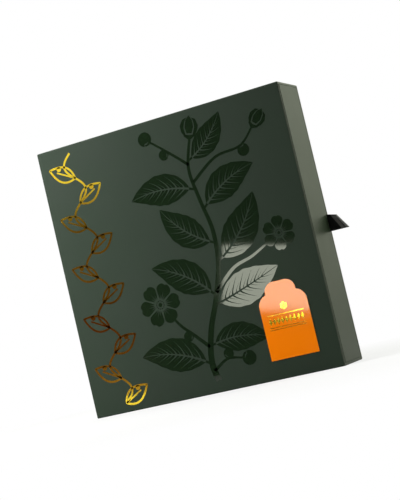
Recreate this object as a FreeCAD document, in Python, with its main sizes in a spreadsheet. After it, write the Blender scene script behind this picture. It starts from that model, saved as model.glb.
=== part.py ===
"""Tea calendar box: a board slipcase with a shut tray, a ribbon pull and a shaped plaque.

The box stands on its lower wall. X runs along the width, with the slipcase's mouth and the
ribbon at +X. The front panel faces -Y, and Z runs up. The origin is the middle of the foot.
"""
import FreeCAD, Part
import math
import os
import Sketcher

Vector = FreeCAD.Vector

# Driving dimensions in millimetres, written once here and read from the sheet everywhere else.
SIZES = {
    "box_width": (273.0, "closed end to mouth, along X"),
    "box_depth": (58.0, "front panel to back panel, along Y"),
    "box_height": (280.0, "foot to top, along Z"),
    "board": (2.6, "thickness of the slipcase's wrapped board"),
    "edge_round": (1.2, "radius of the paper wrap over the slipcase's outer edges"),
    "mouth_ease": (1.2, "radius of the mouth's inner edge behind the front panel"),
    "rim_flat": (0.1, "least flat width left between the rim's two rounded edges"),
    "tray_play": (0.2, "gap between the tray and the back, upper, lower and closed walls"),
    "front_play": (1.2, "gap between the tray and the front panel"),
    "tray_setback": (0.1, "how far the tray's end face sits inside the mouth"),
    "tray_round": (0.3, "radius of the tray's edges"),
    "ribbon_width": (17.5, "width of the ribbon, along Z"),
    "ribbon_gauge": (0.5, "thickness of one ribbon layer"),
    "ribbon_slit": (0.2, "gap between the two layers where they leave the tray"),
    "ribbon_roll": (2.8, "outer radius of the loop's rounded fold"),
    "reach_lower": (19.6, "reach of the fold beyond the tray at the ribbon's lower edge"),
    "reach_upper": (10.1, "reach of the fold beyond the tray at the ribbon's upper edge"),
    "ribbon_droop": (14.0, "slope of the loop's upper edge, in degrees"),
    "ribbon_drop": (1.5, "how far the ribbon's middle lies below half height"),
    "root_length": (9.0, "length of ribbon tucked into the tray's slot"),
    "root_fit": (0.2, "clearance round the ribbon in its slot"),
    "label_width": (50.0, "width of the plaque"),
    "label_gauge": (0.5, "thickness of the plaque"),
    "label_side": (52.0, "height of the plaque's straight sides"),
    "shoulder_round": (12.0, "radius of the plaque's two shoulders"),
    "arch_width": (32.0, "width of the raised arch between the shoulders"),
    "arch_round": (10.0, "radius of the arch's two upper corners"),
    "arch_top": (75.0, "height of the arch's top above the plaque's foot"),
    "label_inset": (21.6, "plaque's edge to the mouth, along X"),
    "label_foot": (19.0, "plaque's foot above the box's foot"),
}


def make_sheet(doc):
    """Put every driving dimension in a spreadsheet cell of its own, with an alias."""
    sheet = doc.addObject("Spreadsheet::Sheet", "sizes")
    for row, (alias, (value, note)) in enumerate(SIZES.items(), start=1):
        sheet.set(f"A{row}", alias)
        sheet.set(f"B{row}", str(value))
        sheet.set(f"C{row}", note)
        sheet.setAlias(f"B{row}", alias)
    doc.recompute()
    return sheet


def size(alias):
    """Read one driving dimension, to lay out a sketch before its constraints solve."""
    return float(FreeCAD.ActiveDocument.getObject("sizes").get(alias))


def bind(item, bindings):
    """Tie properties of an object to formulas over the sheet, each written with short aliases."""
    for prop, formula in bindings.items():
        for alias in sorted(SIZES, key=len, reverse=True):
            formula = formula.replace(f"${alias}", f"sizes.{alias}")
        item.setExpression(prop, formula)


def make_body(doc, label, **place):
    """Start a body whose placement follows the sheet: keywords x, y and z hold the formulas."""
    body = doc.addObject("PartDesign::Body", f"{label}_body")
    body.Label = label
    bind(body, {f"Placement.Base.{axis}": formula for axis, formula in place.items()})
    return body


def make_sketch(body, name, plane):
    """Attach a sketch to one of the body's own origin planes."""
    sketch = body.newObject("Sketcher::SketchObject", name)
    support = next(item for item in body.Origin.OriginFeatures if item.Role == plane)
    sketch.AttachmentSupport = (support, [""])
    sketch.MapMode = "FlatFace"
    return sketch


def dimension(sketch, name, kind, *where, formula):
    """Add a named length to a sketch and tie it to a formula over the sheet."""
    index = sketch.addConstraint(Sketcher.Constraint(kind, *where))
    sketch.renameConstraint(index, name)
    bind(sketch, {f"Constraints.{name}": formula})


def join_ends(sketch, chain):
    """Join each edge's last point to the next one's first, smoothly where the chain says so.

    The chain lists (edge, its first point, its last point, joined smoothly to the next edge).
    """
    for (edge, _, last, smooth), (other, first, _, _) in zip(chain, chain[1:] + chain[:1]):
        kind = "Tangent" if smooth else "Coincident"
        sketch.addConstraint(Sketcher.Constraint(kind, edge, last, other, first))


def centred_rectangle(sketch, wide, high):
    """Draw a rectangle about the sketch's origin, with formulas for both of its sides."""
    corners = [Vector(-20, -20, 0), Vector(20, -20, 0), Vector(20, 20, 0), Vector(-20, 20, 0)]
    for start, end in zip(corners, corners[1:] + corners[:1]):
        sketch.addGeometry(Part.LineSegment(start, end))
    join_ends(sketch, [(edge, 1, 2, False) for edge in range(4)])
    for kind, edge in (("Horizontal", 0), ("Horizontal", 2), ("Vertical", 1), ("Vertical", 3)):
        sketch.addConstraint(Sketcher.Constraint(kind, edge))
    sketch.addConstraint(Sketcher.Constraint("Symmetric", 0, 1, 2, 1, -1, 1))
    dimension(sketch, "wide", "DistanceX", 0, 1, 0, 2, 40.0, formula=wide)
    dimension(sketch, "high", "DistanceY", 1, 1, 1, 2, 40.0, formula=high)


def round_edges(doc, body, base, name, radius, edges):
    """Round the edges of a feature, given by number, at the radius that a formula gives."""
    doc.recompute()
    fillet = body.newObject("PartDesign::Fillet", name)
    fillet.Base = (base, [f"Edge{number}" for number in edges])
    bind(fillet, {"Radius": radius})
    base.Visibility = False
    return fillet


def make_sleeve(doc):
    """Slipcase: a rounded block along X, hollowed from its mouth at +X."""
    body = make_body(doc, "sleeve", z="$box_height / 2")
    outline = make_sketch(body, "sleeve_outline", "YZ_Plane")
    centred_rectangle(outline, "$box_depth", "$box_height")
    block = body.newObject("PartDesign::Pad", "sleeve_block")
    block.Profile = outline
    block.Midplane = True
    bind(block, {"Length": "$box_width"})
    wrapped = round_edges(doc, body, block, "sleeve_wrap", "$edge_round", range(1, 13))
    mouth = make_sketch(body, "sleeve_mouth", "YZ_Plane")
    bind(mouth, {"AttachmentOffset.Base.z": "$box_width / 2"})
    centred_rectangle(mouth, "$box_depth - 2 * $board", "$box_height - 2 * $board")
    hollow = body.newObject("PartDesign::Pocket", "sleeve_hollow")
    hollow.Profile = mouth
    bind(hollow, {"Length": "$box_width - $board"})
    doc.recompute()
    if hollow.Shape.Volume >= wrapped.Shape.Volume:
        raise RuntimeError("the slipcase's hollow cuts nothing")
    round_edges(doc, body, hollow, "mouth_edge",
                "min($mouth_ease; $board - $edge_round - $rim_flat)",
                front_mouth_edge(hollow.Shape))
    return body


def front_mouth_edge(shape):
    """Numbers of the edges where the hollow's front side meets the mouth."""
    mouth = size("box_width") / 2
    inside = size("board") - size("box_depth") / 2
    return [number for number, edge in enumerate(shape.Edges, start=1)
            if all(math.isclose(vertex.X, mouth, abs_tol=1e-6)
                   and math.isclose(vertex.Y, inside, abs_tol=1e-6)
                   for vertex in edge.Vertexes)]


def make_tray(doc):
    """Shut tray: a block that fills the slipcase, with a slot for the ribbon in its back edge."""
    body = make_body(doc, "tray", x="$board / 2 - $tray_setback / 2 + $tray_play / 2",
                     z="$box_height / 2")
    outline = make_sketch(body, "tray_outline", "YZ_Plane")
    bind(outline, {"AttachmentOffset.Base.x": "($front_play - $tray_play) / 2"})
    centred_rectangle(outline, "$box_depth - 2 * $board - $tray_play - $front_play",
                      "$box_height - 2 * $board - 2 * $tray_play")
    block = body.newObject("PartDesign::Pad", "tray_block")
    block.Profile = outline
    block.Midplane = True
    bind(block, {"Length": "$box_width - $board - $tray_setback - $tray_play"})
    rounded = round_edges(doc, body, block, "tray_edges", "$tray_round", range(1, 13))
    opening = make_sketch(body, "ribbon_opening", "YZ_Plane")
    bind(opening, {
        "AttachmentOffset.Base.x": f"{RIBBON_PLANE} + ($tray_play - $root_fit) / 2",
        "AttachmentOffset.Base.y": "-$ribbon_drop",
        "AttachmentOffset.Base.z": "($box_width - $board - $tray_setback - $tray_play) / 2"})
    centred_rectangle(opening, "2 * $ribbon_gauge + $ribbon_slit + $root_fit + $tray_play",
                      "$ribbon_width + 2 * $root_fit")
    slot = body.newObject("PartDesign::Pocket", "ribbon_slot")
    slot.Profile = opening
    bind(slot, {"Length": "$root_length + $root_fit"})
    doc.recompute()
    if slot.Shape.Volume >= rounded.Shape.Volume:
        raise RuntimeError("the ribbon's slot cuts nothing")
    return body


# The ribbon's middle plane lies one half of its two layers inside the tray's back face.
RIBBON_PLANE = "($box_depth / 2 - $board - $tray_play - $ribbon_gauge - $ribbon_slit / 2)"


def loop_section(body, name, reach):
    """Draw the loop's section: two layers that swell from the tray to one rounded fold."""
    sketch = make_sketch(body, name, "XY_Plane")
    outer = size("ribbon_roll")
    inner = outer - size("ribbon_gauge")
    centre = Vector(size(reach) - outer, 0, 0)
    half_gap = size("ribbon_slit") / 2
    half_root = half_gap + size("ribbon_gauge")

    def tangent_angle(start, radius):
        """Angle round the fold at which a line from a point on the Y axis touches it."""
        distance = math.hypot(centre.x, start)
        return math.acos(radius / distance) + math.atan2(start, centre.x)

    def touch(start, radius):
        """Point where that line touches the fold, above the X axis."""
        turn = math.pi - tangent_angle(start, radius)
        return centre + Vector(radius * math.cos(turn), radius * math.sin(turn), 0)

    def below(point):
        """Mirror a point across the X axis."""
        return Vector(point.x, -point.y, 0)

    def fold(radius, top):
        """Arc round the outside of the fold between a touching point and its mirror."""
        turn = math.atan2(top.y, top.x - centre.x)
        return Part.ArcOfCircle(Part.Circle(centre, Vector(0, 0, 1), radius), -turn, turn)

    outer_top = touch(half_root, outer)
    inner_top = touch(half_gap, inner)
    root_top = Vector(0, half_root, 0)
    gap_top = Vector(0, half_gap, 0)
    sketch.addGeometry([
        Part.LineSegment(below(root_top), below(outer_top)),
        fold(outer, outer_top),
        Part.LineSegment(outer_top, root_top),
        Part.LineSegment(root_top, gap_top),
        Part.LineSegment(gap_top, inner_top),
        fold(inner, inner_top),
        Part.LineSegment(below(inner_top), below(gap_top)),
        Part.LineSegment(below(gap_top), below(root_top))])
    join_ends(sketch, [(0, 1, 2, True), (1, 1, 2, True), (2, 1, 2, False), (3, 1, 2, False),
                       (4, 1, 2, True), (5, 2, 1, True), (6, 1, 2, False), (7, 1, 2, False)])
    sketch.addConstraint([
        Sketcher.Constraint("PointOnObject", 1, 3, -1),
        Sketcher.Constraint("Coincident", 5, 3, 1, 3),
        Sketcher.Constraint("PointOnObject", 2, 2, -2),
        Sketcher.Constraint("PointOnObject", 3, 2, -2),
        Sketcher.Constraint("Symmetric", 2, 2, 0, 1, -1),
        Sketcher.Constraint("Symmetric", 3, 2, 6, 2, -1)])
    dimension(sketch, "roll", "Radius", 1, outer, formula="$ribbon_roll")
    dimension(sketch, "inside", "Radius", 5, inner, formula="$ribbon_roll - $ribbon_gauge")
    dimension(sketch, "out", "DistanceX", -1, 1, 1, 3, centre.x, formula=f"${reach} - $ribbon_roll")
    dimension(sketch, "root", "DistanceY", 0, 1, 2, 2, 2 * half_root,
              formula="2 * $ribbon_gauge + $ribbon_slit")
    dimension(sketch, "gap", "DistanceY", 6, 2, 3, 2, 2 * half_gap, formula="$ribbon_slit")
    return sketch


def make_ribbon(doc):
    """Ribbon pull: a root in the tray's slot and a loop whose fold runs aslant."""
    body = make_body(doc, "ribbon_pull", x="$box_width / 2 - $tray_setback", y=RIBBON_PLANE,
                     z="$box_height / 2 - $ribbon_drop")
    lower = loop_section(body, "loop_lower", "reach_lower")
    bind(lower, {"AttachmentOffset.Base.z": "-$ribbon_width / 2"})
    upper = loop_section(body, "loop_upper", "reach_upper")
    upper.AttachmentOffset.Rotation.Axis = Vector(0, 1, 0)
    bind(upper, {"AttachmentOffset.Base.z": "$ribbon_width / 2",
                 "AttachmentOffset.Rotation.Angle": "$ribbon_droop"})
    doc.recompute()
    loop = body.newObject("PartDesign::AdditiveLoft", "ribbon_loop")
    loop.Profile = lower
    loop.Sections = [upper]
    loop.Ruled = True
    root_outline = make_sketch(body, "root_outline", "YZ_Plane")
    centred_rectangle(root_outline, "2 * $ribbon_gauge + $ribbon_slit", "$ribbon_width")
    root = body.newObject("PartDesign::Pad", "ribbon_root")
    root.Profile = root_outline
    root.Reversed = True
    bind(root, {"Length": "$root_length"})
    return body


def make_label(doc):
    """Shaped plaque: straight sides, two round shoulders and a raised arch between them."""
    body = make_body(doc, "label", x="$box_width / 2 - $label_inset - $label_width / 2",
                     y="-$box_depth / 2", z="$label_foot")
    sketch = make_sketch(body, "label_outline", "XZ_Plane")
    half = size("label_width") / 2
    side = size("label_side")
    shoulder = size("shoulder_round")
    arch = size("arch_width") / 2
    corner = size("arch_round")
    top = size("arch_top")
    normal = Vector(0, 0, 1)
    shoulder_end = math.acos((arch - half + shoulder) / shoulder)
    notch = side + shoulder * math.sin(shoulder_end)

    def mirrored(x, y):
        """Point at the same height on the plaque's left half."""
        return Vector(-x, y, 0)

    def arc(x, y, radius, start, end):
        """Arc about a centre between two angles."""
        return Part.ArcOfCircle(Part.Circle(Vector(x, y, 0), normal, radius), start, end)

    sketch.addGeometry([
        Part.LineSegment(mirrored(half, 0), Vector(half, 0, 0)),
        Part.LineSegment(Vector(half, 0, 0), Vector(half, side, 0)),
        arc(half - shoulder, side, shoulder, 0, shoulder_end),
        Part.LineSegment(Vector(arch, notch, 0), Vector(arch, top - corner, 0)),
        arc(arch - corner, top - corner, corner, 0, math.pi / 2),
        Part.LineSegment(Vector(arch - corner, top, 0), mirrored(arch - corner, top)),
        arc(corner - arch, top - corner, corner, math.pi / 2, math.pi),
        Part.LineSegment(mirrored(arch, top - corner), mirrored(arch, notch)),
        arc(shoulder - half, side, shoulder, math.pi - shoulder_end, math.pi),
        Part.LineSegment(mirrored(half, side), mirrored(half, 0))])
    join_ends(sketch, [(0, 1, 2, False), (1, 1, 2, True), (2, 1, 2, False), (3, 1, 2, True),
                       (4, 1, 2, True), (5, 1, 2, True), (6, 1, 2, True), (7, 1, 2, False),
                       (8, 1, 2, True), (9, 1, 2, False)])
    sketch.addConstraint([
        Sketcher.Constraint("PointOnObject", 0, 1, -1),
        Sketcher.Constraint("Symmetric", 0, 1, 0, 2, -2),
        Sketcher.Constraint("Symmetric", 1, 2, 9, 1, -2),
        Sketcher.Constraint("Vertical", 1),
        Sketcher.Constraint("Vertical", 3),
        Sketcher.Constraint("Horizontal", 5),
        Sketcher.Constraint("Symmetric", 3, 1, 7, 2, -2),
        Sketcher.Constraint("Symmetric", 3, 2, 7, 1, -2)])
    dimension(sketch, "wide", "DistanceX", 0, 1, 0, 2, 2 * half, formula="$label_width")
    dimension(sketch, "side", "DistanceY", 1, 1, 1, 2, side, formula="$label_side")
    dimension(sketch, "shoulder", "Radius", 2, shoulder, formula="$shoulder_round")
    dimension(sketch, "arch", "DistanceX", 7, 2, 3, 1, 2 * arch, formula="$arch_width")
    dimension(sketch, "corner", "Radius", 4, corner, formula="$arch_round")
    dimension(sketch, "top", "DistanceY", 0, 2, 4, 2, top, formula="$arch_top")
    plate = body.newObject("PartDesign::Pad", "label_plate")
    plate.Profile = sketch
    bind(plate, {"Length": "$label_gauge"})
    return body


def check(doc, parts):
    """Stop unless every object computed and every sub-part is one valid solid."""
    for item in doc.Objects:
        if {"Invalid", "Error"} & set(item.State):
            raise RuntimeError(f"{item.Name} did not compute: {item.State}")
        if item.isDerivedFrom("Sketcher::SketchObject") and item.solve() != 0:
            raise RuntimeError(f"{item.Name} has constraints that do not solve")
    for part in parts:
        shape = part.Shape
        if shape.isNull() or not shape.isValid() or len(shape.Solids) != 1:
            raise RuntimeError(f"{part.Label} is not one valid solid")


def main():
    """Build the four pieces, check them and write each one to its own file."""
    doc = FreeCAD.newDocument("tea_calendar_box")
    make_sheet(doc)
    parts = [make_sleeve(doc), make_tray(doc), make_ribbon(doc), make_label(doc)]
    doc.recompute()
    check(doc, parts)
    os.makedirs("parts", exist_ok=True)
    for part in parts:
        part.Shape.exportStep(f"parts/{part.Label}.step")
        box = part.Shape.BoundBox
        print(f"{part.Label}: {part.Shape.Volume / 1000:.1f} cm3, "
              f"x {box.XMin:.2f} to {box.XMax:.2f}, y {box.YMin:.2f} to {box.YMax:.2f}, "
              f"z {box.ZMin:.2f} to {box.ZMax:.2f}")


main()
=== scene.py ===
"""Tea calendar box: the looks of its slipcase, shut tray, ribbon pull, plaque and prints.

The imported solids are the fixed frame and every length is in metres. A print is laid out flat
first, with X to the right, Y up the panel and Z out of it, and is then stood on the front panel,
which faces -Y.
"""

import logging
import math
from collections.abc import Iterable, Mapping
from dataclasses import dataclass
from enum import IntEnum

import bmesh
import bpy
from mathutils import Matrix, Vector


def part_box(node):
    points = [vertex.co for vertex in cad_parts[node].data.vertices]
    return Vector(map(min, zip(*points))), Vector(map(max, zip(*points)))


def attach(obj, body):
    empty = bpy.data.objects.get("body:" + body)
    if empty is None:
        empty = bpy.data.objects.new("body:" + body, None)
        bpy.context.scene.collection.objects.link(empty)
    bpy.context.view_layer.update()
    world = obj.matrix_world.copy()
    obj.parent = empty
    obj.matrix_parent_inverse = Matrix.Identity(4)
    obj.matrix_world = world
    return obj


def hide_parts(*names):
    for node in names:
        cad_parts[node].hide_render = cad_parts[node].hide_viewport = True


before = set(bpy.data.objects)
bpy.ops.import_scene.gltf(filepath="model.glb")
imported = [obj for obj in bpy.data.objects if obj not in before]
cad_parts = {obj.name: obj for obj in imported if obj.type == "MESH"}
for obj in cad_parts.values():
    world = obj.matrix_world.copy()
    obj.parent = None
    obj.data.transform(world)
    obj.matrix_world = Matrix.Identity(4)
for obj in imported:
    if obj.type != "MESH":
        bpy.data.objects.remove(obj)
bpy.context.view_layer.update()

LOG = logging.getLogger("tea_calendar_box")
BODY = "root"
MM = 0.001

Colour = tuple[float, float, float, float]
Point = tuple[float, float]
Place = tuple[float, float, float]
Outline = list[Point]
Socket = bpy.types.NodeSocket

WHITE: Colour = (1.0, 1.0, 1.0, 1.0)


# Node trees ----------------------------------------------------------------------------------


class Graph:
    """A node tree being built: adds nodes, sets their inputs and joins their sockets."""

    def __init__(self, tree: bpy.types.NodeTree) -> None:
        """Start on an existing tree."""
        self.tree = tree

    def add(self, kind: str, inputs: Mapping[object, object] | None = None,
            **settings: object) -> bpy.types.Node:
        """Add one node.

        Args:
            kind: The node's type, such as "ShaderNodeMath".
            inputs: Values or sockets for its inputs, by name or number.
            settings: The node's own properties.

        Returns:
            The new node.
        """
        node = self.tree.nodes.new(kind)
        for name, value in settings.items():
            setattr(node, name, value)
        for key, value in (inputs or {}).items():
            self.feed(node.inputs[key], value)
        return node

    def feed(self, socket: Socket, value: object) -> None:
        """Give an input a constant, or join it to an output.

        Args:
            socket: The input.
            value: A constant or an output socket.
        """
        if isinstance(value, bpy.types.NodeSocket):
            self.tree.links.new(value, socket)
        else:
            socket.default_value = value

    def out(self, kind: str, inputs: Mapping[object, object] | None = None,
            **settings: object) -> Socket:
        """Add one node and give its first output."""
        return self.add(kind, inputs, **settings).outputs[0]

    def geo(self, kind: str, inputs: Mapping[object, object] | None = None,
            **settings: object) -> Socket:
        """Add one geometry node and give its first output."""
        return self.out(f"GeometryNode{kind}", inputs, **settings)

    def maths(self, operation: str, *values: object, clamp: bool = False) -> Socket:
        """One number worked out from one to three others."""
        return self.out("ShaderNodeMath", dict(enumerate(values)), operation=operation,
                        use_clamp=clamp)

    def scaled(self, value: object, factor: object, plus: object = 0.0) -> Socket:
        """A number times a factor, plus another number."""
        return self.maths("MULTIPLY_ADD", value, factor, plus)

    def between(self, value: object, low: float, high: float, first: float = 0.0,
                last: float = 1.0, smooth: bool = True) -> Socket:
        """Map low to high onto first to last, held at both ends and eased where smooth."""
        return self.out("ShaderNodeMapRange", {0: value, 1: low, 2: high, 3: first, 4: last},
                        interpolation_type="SMOOTHSTEP" if smooth else "LINEAR")

    def mixed(self, share: object, first: object, second: object) -> Socket:
        """Mix two colours, with so much of the second."""
        node = self.add("ShaderNodeMix", {0: share, 6: first, 7: second}, data_type="RGBA")
        return node.outputs[2]

    def noise(self, place: object, scale: object, detail: float = 2.0,
              roughness: float = 0.5) -> Socket:
        """A smooth random value from 0 to 1, with so many features in a metre."""
        return self.out("ShaderNodeTexNoise", {"Vector": place, "Scale": scale,
                                               "Detail": detail, "Roughness": roughness})

    def here(self) -> Socket:
        """Object coordinates, in metres."""
        return self.add("ShaderNodeTexCoord").outputs["Object"]

    def axes(self, vector: object) -> Mapping:
        """The X, Y and Z of a vector."""
        return self.add("ShaderNodeSeparateXYZ", {0: vector}).outputs

    def vector(self, x: object = 0.0, y: object = 0.0, z: object = 0.0) -> Socket:
        """A vector from its X, Y and Z."""
        return self.out("ShaderNodeCombineXYZ", {0: x, 1: y, 2: z})

    def moved(self, shape: Socket, place: Socket) -> Socket:
        """Geometry with its points put in new places."""
        return self.geo("SetPosition", {"Geometry": shape, "Position": place})

    def turned(self, angle: Socket) -> Socket:
        """A turn about Z."""
        return self.out("FunctionNodeAxisAngleToRotation", {"Axis": (0.0, 0.0, 1.0),
                                                            "Angle": angle})

    def join(self, *shapes: Socket) -> Socket:
        """Join geometries into one.

        Args:
            shapes: The geometries. The last comes first among instances.

        Returns:
            The joined geometry's socket.
        """
        node = self.add("GeometryNodeJoinGeometry")
        for shape in shapes:
            self.tree.links.new(shape, node.inputs[0])
        return node.outputs[0]

    def strip(self, curve: Socket, wide: object, high: object, scale: object = 1.0) -> Socket:
        """Sweep a flat curve into a flat closed strip.

        Args:
            curve: The curve, lying flat.
            wide: The strip's width.
            high: The strip's height.
            scale: The factor on both along the curve.

        Returns:
            The strip's socket.
        """
        level = self.geo("SetCurveNormal", {"Curve": curve}, mode="Z_UP")
        section = self.geo("CurvePrimitiveQuadrilateral", {"Width": wide, "Height": high})
        swept = self.geo("CurveToMesh", {"Curve": level, "Profile Curve": section,
                                         "Scale": scale, "Fill Caps": True})
        return self.geo("SetShadeSmooth", {"Geometry": swept, "Shade Smooth": False})

    def inked(self, shape: Socket, material: Socket) -> Socket:
        """Realize instances and set the material of all."""
        solid = self.geo("RealizeInstances", {"Geometry": shape})
        return self.geo("SetMaterial", {"Geometry": solid, "Material": material})


def make_group(name: str, kind: str, inputs: Iterable[tuple[str, str, object]],
               outputs: Iterable[tuple[str, str]]) -> tuple[Graph, Mapping, Mapping]:
    """Start a node group with named inputs and outputs.

    Args:
        name: The group's name.
        kind: "Shader" or "Geometry".
        inputs: The name, type and plain value of each input.
        outputs: The name and type of each output.

    Returns:
        The graph to build in, the group's inputs by name and its outputs by name.
    """
    tree = bpy.data.node_groups.new(name, f"{kind}NodeTree")
    for label, form, value in inputs:
        socket = tree.interface.new_socket(name=label, in_out="INPUT",
                                           socket_type=f"NodeSocket{form}")
        if value is not None:
            socket.default_value = value
    for label, form in outputs:
        tree.interface.new_socket(name=label, in_out="OUTPUT", socket_type=f"NodeSocket{form}")
    graph = Graph(tree)
    return graph, graph.add("NodeGroupInput").outputs, graph.add("NodeGroupOutput").inputs


class Effects:
    """Shader node groups that several finishes share, each built once."""

    @staticmethod
    def place(graph: Graph, name: str, **values: object) -> Mapping:
        """Put a shared effect in a material.

        Args:
            graph: The material's graph.
            name: The effect's name, which is also that of the method that builds it.
            values: Its inputs by name, with a low line for a space.

        Returns:
            The effect's outputs by name.
        """
        if name not in bpy.data.node_groups:
            getattr(Effects, name)()
        inputs = {key.capitalize().replace("_", " "): value for key, value in values.items()}
        node = graph.add("ShaderNodeGroup", node_tree=bpy.data.node_groups[name])
        for key, value in inputs.items():
            graph.feed(node.inputs[key], value)
        return node.outputs

    @staticmethod
    def paper_grain() -> None:
        """Fibres, tooth and slow mottling of a printed and laminated sheet."""
        graph, given, out = make_group(
            "paper_grain", "Shader",
            [("Tone", "Color", (0.02, 0.03, 0.02, 1.0)), ("Fleck", "Color", (0.03, 0.04, 0.03, 1.0)),
             ("Roughness", "Float", 0.5), ("Tooth", "Float", 1400.0)],
            [("Color", "Color"), ("Roughness", "Float"), ("Height", "Float")])
        place = graph.here()
        tooth = graph.noise(place, given["Tooth"], 3.0, 0.6)
        grained = graph.out("ShaderNodeMapping", {"Vector": place, "Scale": (1.0, 1.0, 0.18),
                                                  "Rotation": (0.0, math.radians(24.0), 0.0)})
        fibre = graph.noise(grained, 2600.0)
        mottle = graph.noise(place, 18.0, 4.0, 0.55)
        share = graph.scaled(mottle, 0.55, graph.maths("MULTIPLY", tooth, 0.45))
        graph.feed(out["Color"], graph.mixed(graph.between(share, 0.32, 0.68), given["Tone"],
                                             given["Fleck"]))
        swing = graph.scaled(graph.maths("SUBTRACT", mottle, 0.5), 0.16, given["Roughness"])
        graph.feed(out["Roughness"], graph.scaled(graph.maths("SUBTRACT", tooth, 0.5), 0.10, swing))
        graph.feed(out["Height"], graph.scaled(fibre, 0.4, graph.maths("MULTIPLY", tooth, 0.6)))

    @staticmethod
    def edge_wear() -> None:
        """Mask of the edges of a box-shaped piece, for rubbed wear and a painted edge highlight."""
        graph, given, out = make_group(
            "edge_wear", "Shader",
            [("Centre", "Vector", (0.0, 0.0, 0.0)), ("Half size", "Vector", (0.1, 0.1, 0.1)),
             ("Reach", "Float", 0.001)],
            [("Mask", "Float")])
        place = graph.here()
        offset = graph.out("ShaderNodeVectorMath", {0: place, 1: given["Centre"]},
                           operation="SUBTRACT")
        away = graph.out("ShaderNodeVectorMath", {0: offset}, operation="ABSOLUTE")
        depth = graph.axes(graph.out("ShaderNodeVectorMath", {0: given["Half size"], 1: away},
                                     operation="SUBTRACT"))
        low = graph.maths("MINIMUM", depth[0], depth[1])
        high = graph.maths("MAXIMUM", depth[0], depth[1])
        nearest = graph.maths("MAXIMUM", low, graph.maths("MINIMUM", high, depth[2]))
        ragged = graph.scaled(graph.noise(place, 260.0, 4.0, 0.65), 2.6, -0.6)
        reach = graph.maths("MULTIPLY", given["Reach"], ragged)
        share = graph.maths("DIVIDE", nearest, graph.maths("MAXIMUM", reach, 1e-6))
        graph.feed(out["Mask"], graph.between(share, 0.35, 1.0, 1.0, 0.0))

    @staticmethod
    def handling() -> None:
        """Mask of faint hand marks and dust on a smooth surface."""
        graph, given, out = make_group(
            "handling", "Shader", [("Size", "Float", 30.0), ("Dust", "Float", 0.3)],
            [("Mask", "Float")])
        place = graph.here()
        marks = graph.between(graph.noise(place, given["Size"], 5.0, 0.62), 0.52, 0.80)
        dust = graph.between(graph.noise(place, 3100.0, 1.0), 0.70, 0.78)
        graph.feed(out["Mask"], graph.maths("MULTIPLY_ADD", dust, given["Dust"], marks, clamp=True))

    @staticmethod
    def pressed_film() -> None:
        """Dimples and fine ripple of a film or varnish that lies on paper."""
        graph, given, out = make_group(
            "pressed_film", "Shader",
            [("Dimples", "Float", 900.0), ("Ripple", "Float", 60.0), ("Share", "Float", 0.5)],
            [("Height", "Float"), ("Spread", "Float")])
        place = graph.here()
        dimple = graph.noise(place, given["Dimples"])
        ripple = graph.noise(place, given["Ripple"], 1.0)
        rest = graph.maths("MULTIPLY", ripple, graph.maths("SUBTRACT", 1.0, given["Share"]))
        graph.feed(out["Height"], graph.scaled(dimple, given["Share"], rest))
        graph.feed(out["Spread"], dimple)

    @staticmethod
    def satin_weave() -> None:
        """Close ribs and floats of a narrow satin ribbon, on its own UV map in millimetres."""
        graph, given, out = make_group(
            "satin_weave", "Shader", [("Warps", "Float", 4.5), ("Wefts", "Float", 3.2)],
            [("Height", "Float"), ("Float", "Float")])
        part = graph.axes(graph.out("ShaderNodeUVMap", uv_map="ribbon"))
        row = graph.maths("MULTIPLY", part[0], given["Wefts"])
        column = graph.maths("MULTIPLY", part[1], given["Warps"])
        shift = graph.maths("MULTIPLY", graph.maths("FLOOR", column), 0.4)
        weft = graph.maths("SINE", graph.maths("MULTIPLY", graph.maths("ADD", row, shift),
                                               math.tau))
        warp = graph.maths("ABSOLUTE", graph.maths("SINE", graph.maths("MULTIPLY", column,
                                                                        math.pi)))
        lift = graph.scaled(weft, 0.25, 0.75)
        graph.feed(out["Height"], graph.maths("MULTIPLY", warp, lift))
        graph.feed(out["Float"], lift)


# Finishes ------------------------------------------------------------------------------------


def new_material(name: str) -> tuple[bpy.types.Material, Graph, Mapping]:
    """Start a material.

    Args:
        name: Its name.

    Returns:
        The material, its graph and the inputs of its Principled shader.
    """
    material = bpy.data.materials.new(name)
    material.use_nodes = True
    return material, Graph(material.node_tree), material.node_tree.nodes["Principled BSDF"].inputs


@dataclass(frozen=True)
class Finish:
    """What every finish has. Each kind feeds the shader in its own way."""

    name: str
    tone: Colour
    roughness: float
    relief: float
    depth: float

    def material(self) -> bpy.types.Material:
        """Build the material.

        Returns:
            The material.
        """
        material, graph, shader = new_material(self.name)
        self.shade(graph, shader)
        return material

    def shade(self, graph: Graph, shader: Mapping) -> None:
        """Feed the shader.

        Args:
            graph: The material's graph.
            shader: The Principled shader's inputs.
        """
        raise NotImplementedError

    def emboss(self, graph: Graph, shader: Mapping, height: Socket) -> None:
        """Give the shader relief from a height between 0 and 1."""
        graph.feed(shader["Normal"], graph.out("ShaderNodeBump", {
            "Strength": self.relief, "Distance": self.depth, "Height": height}))


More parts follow.
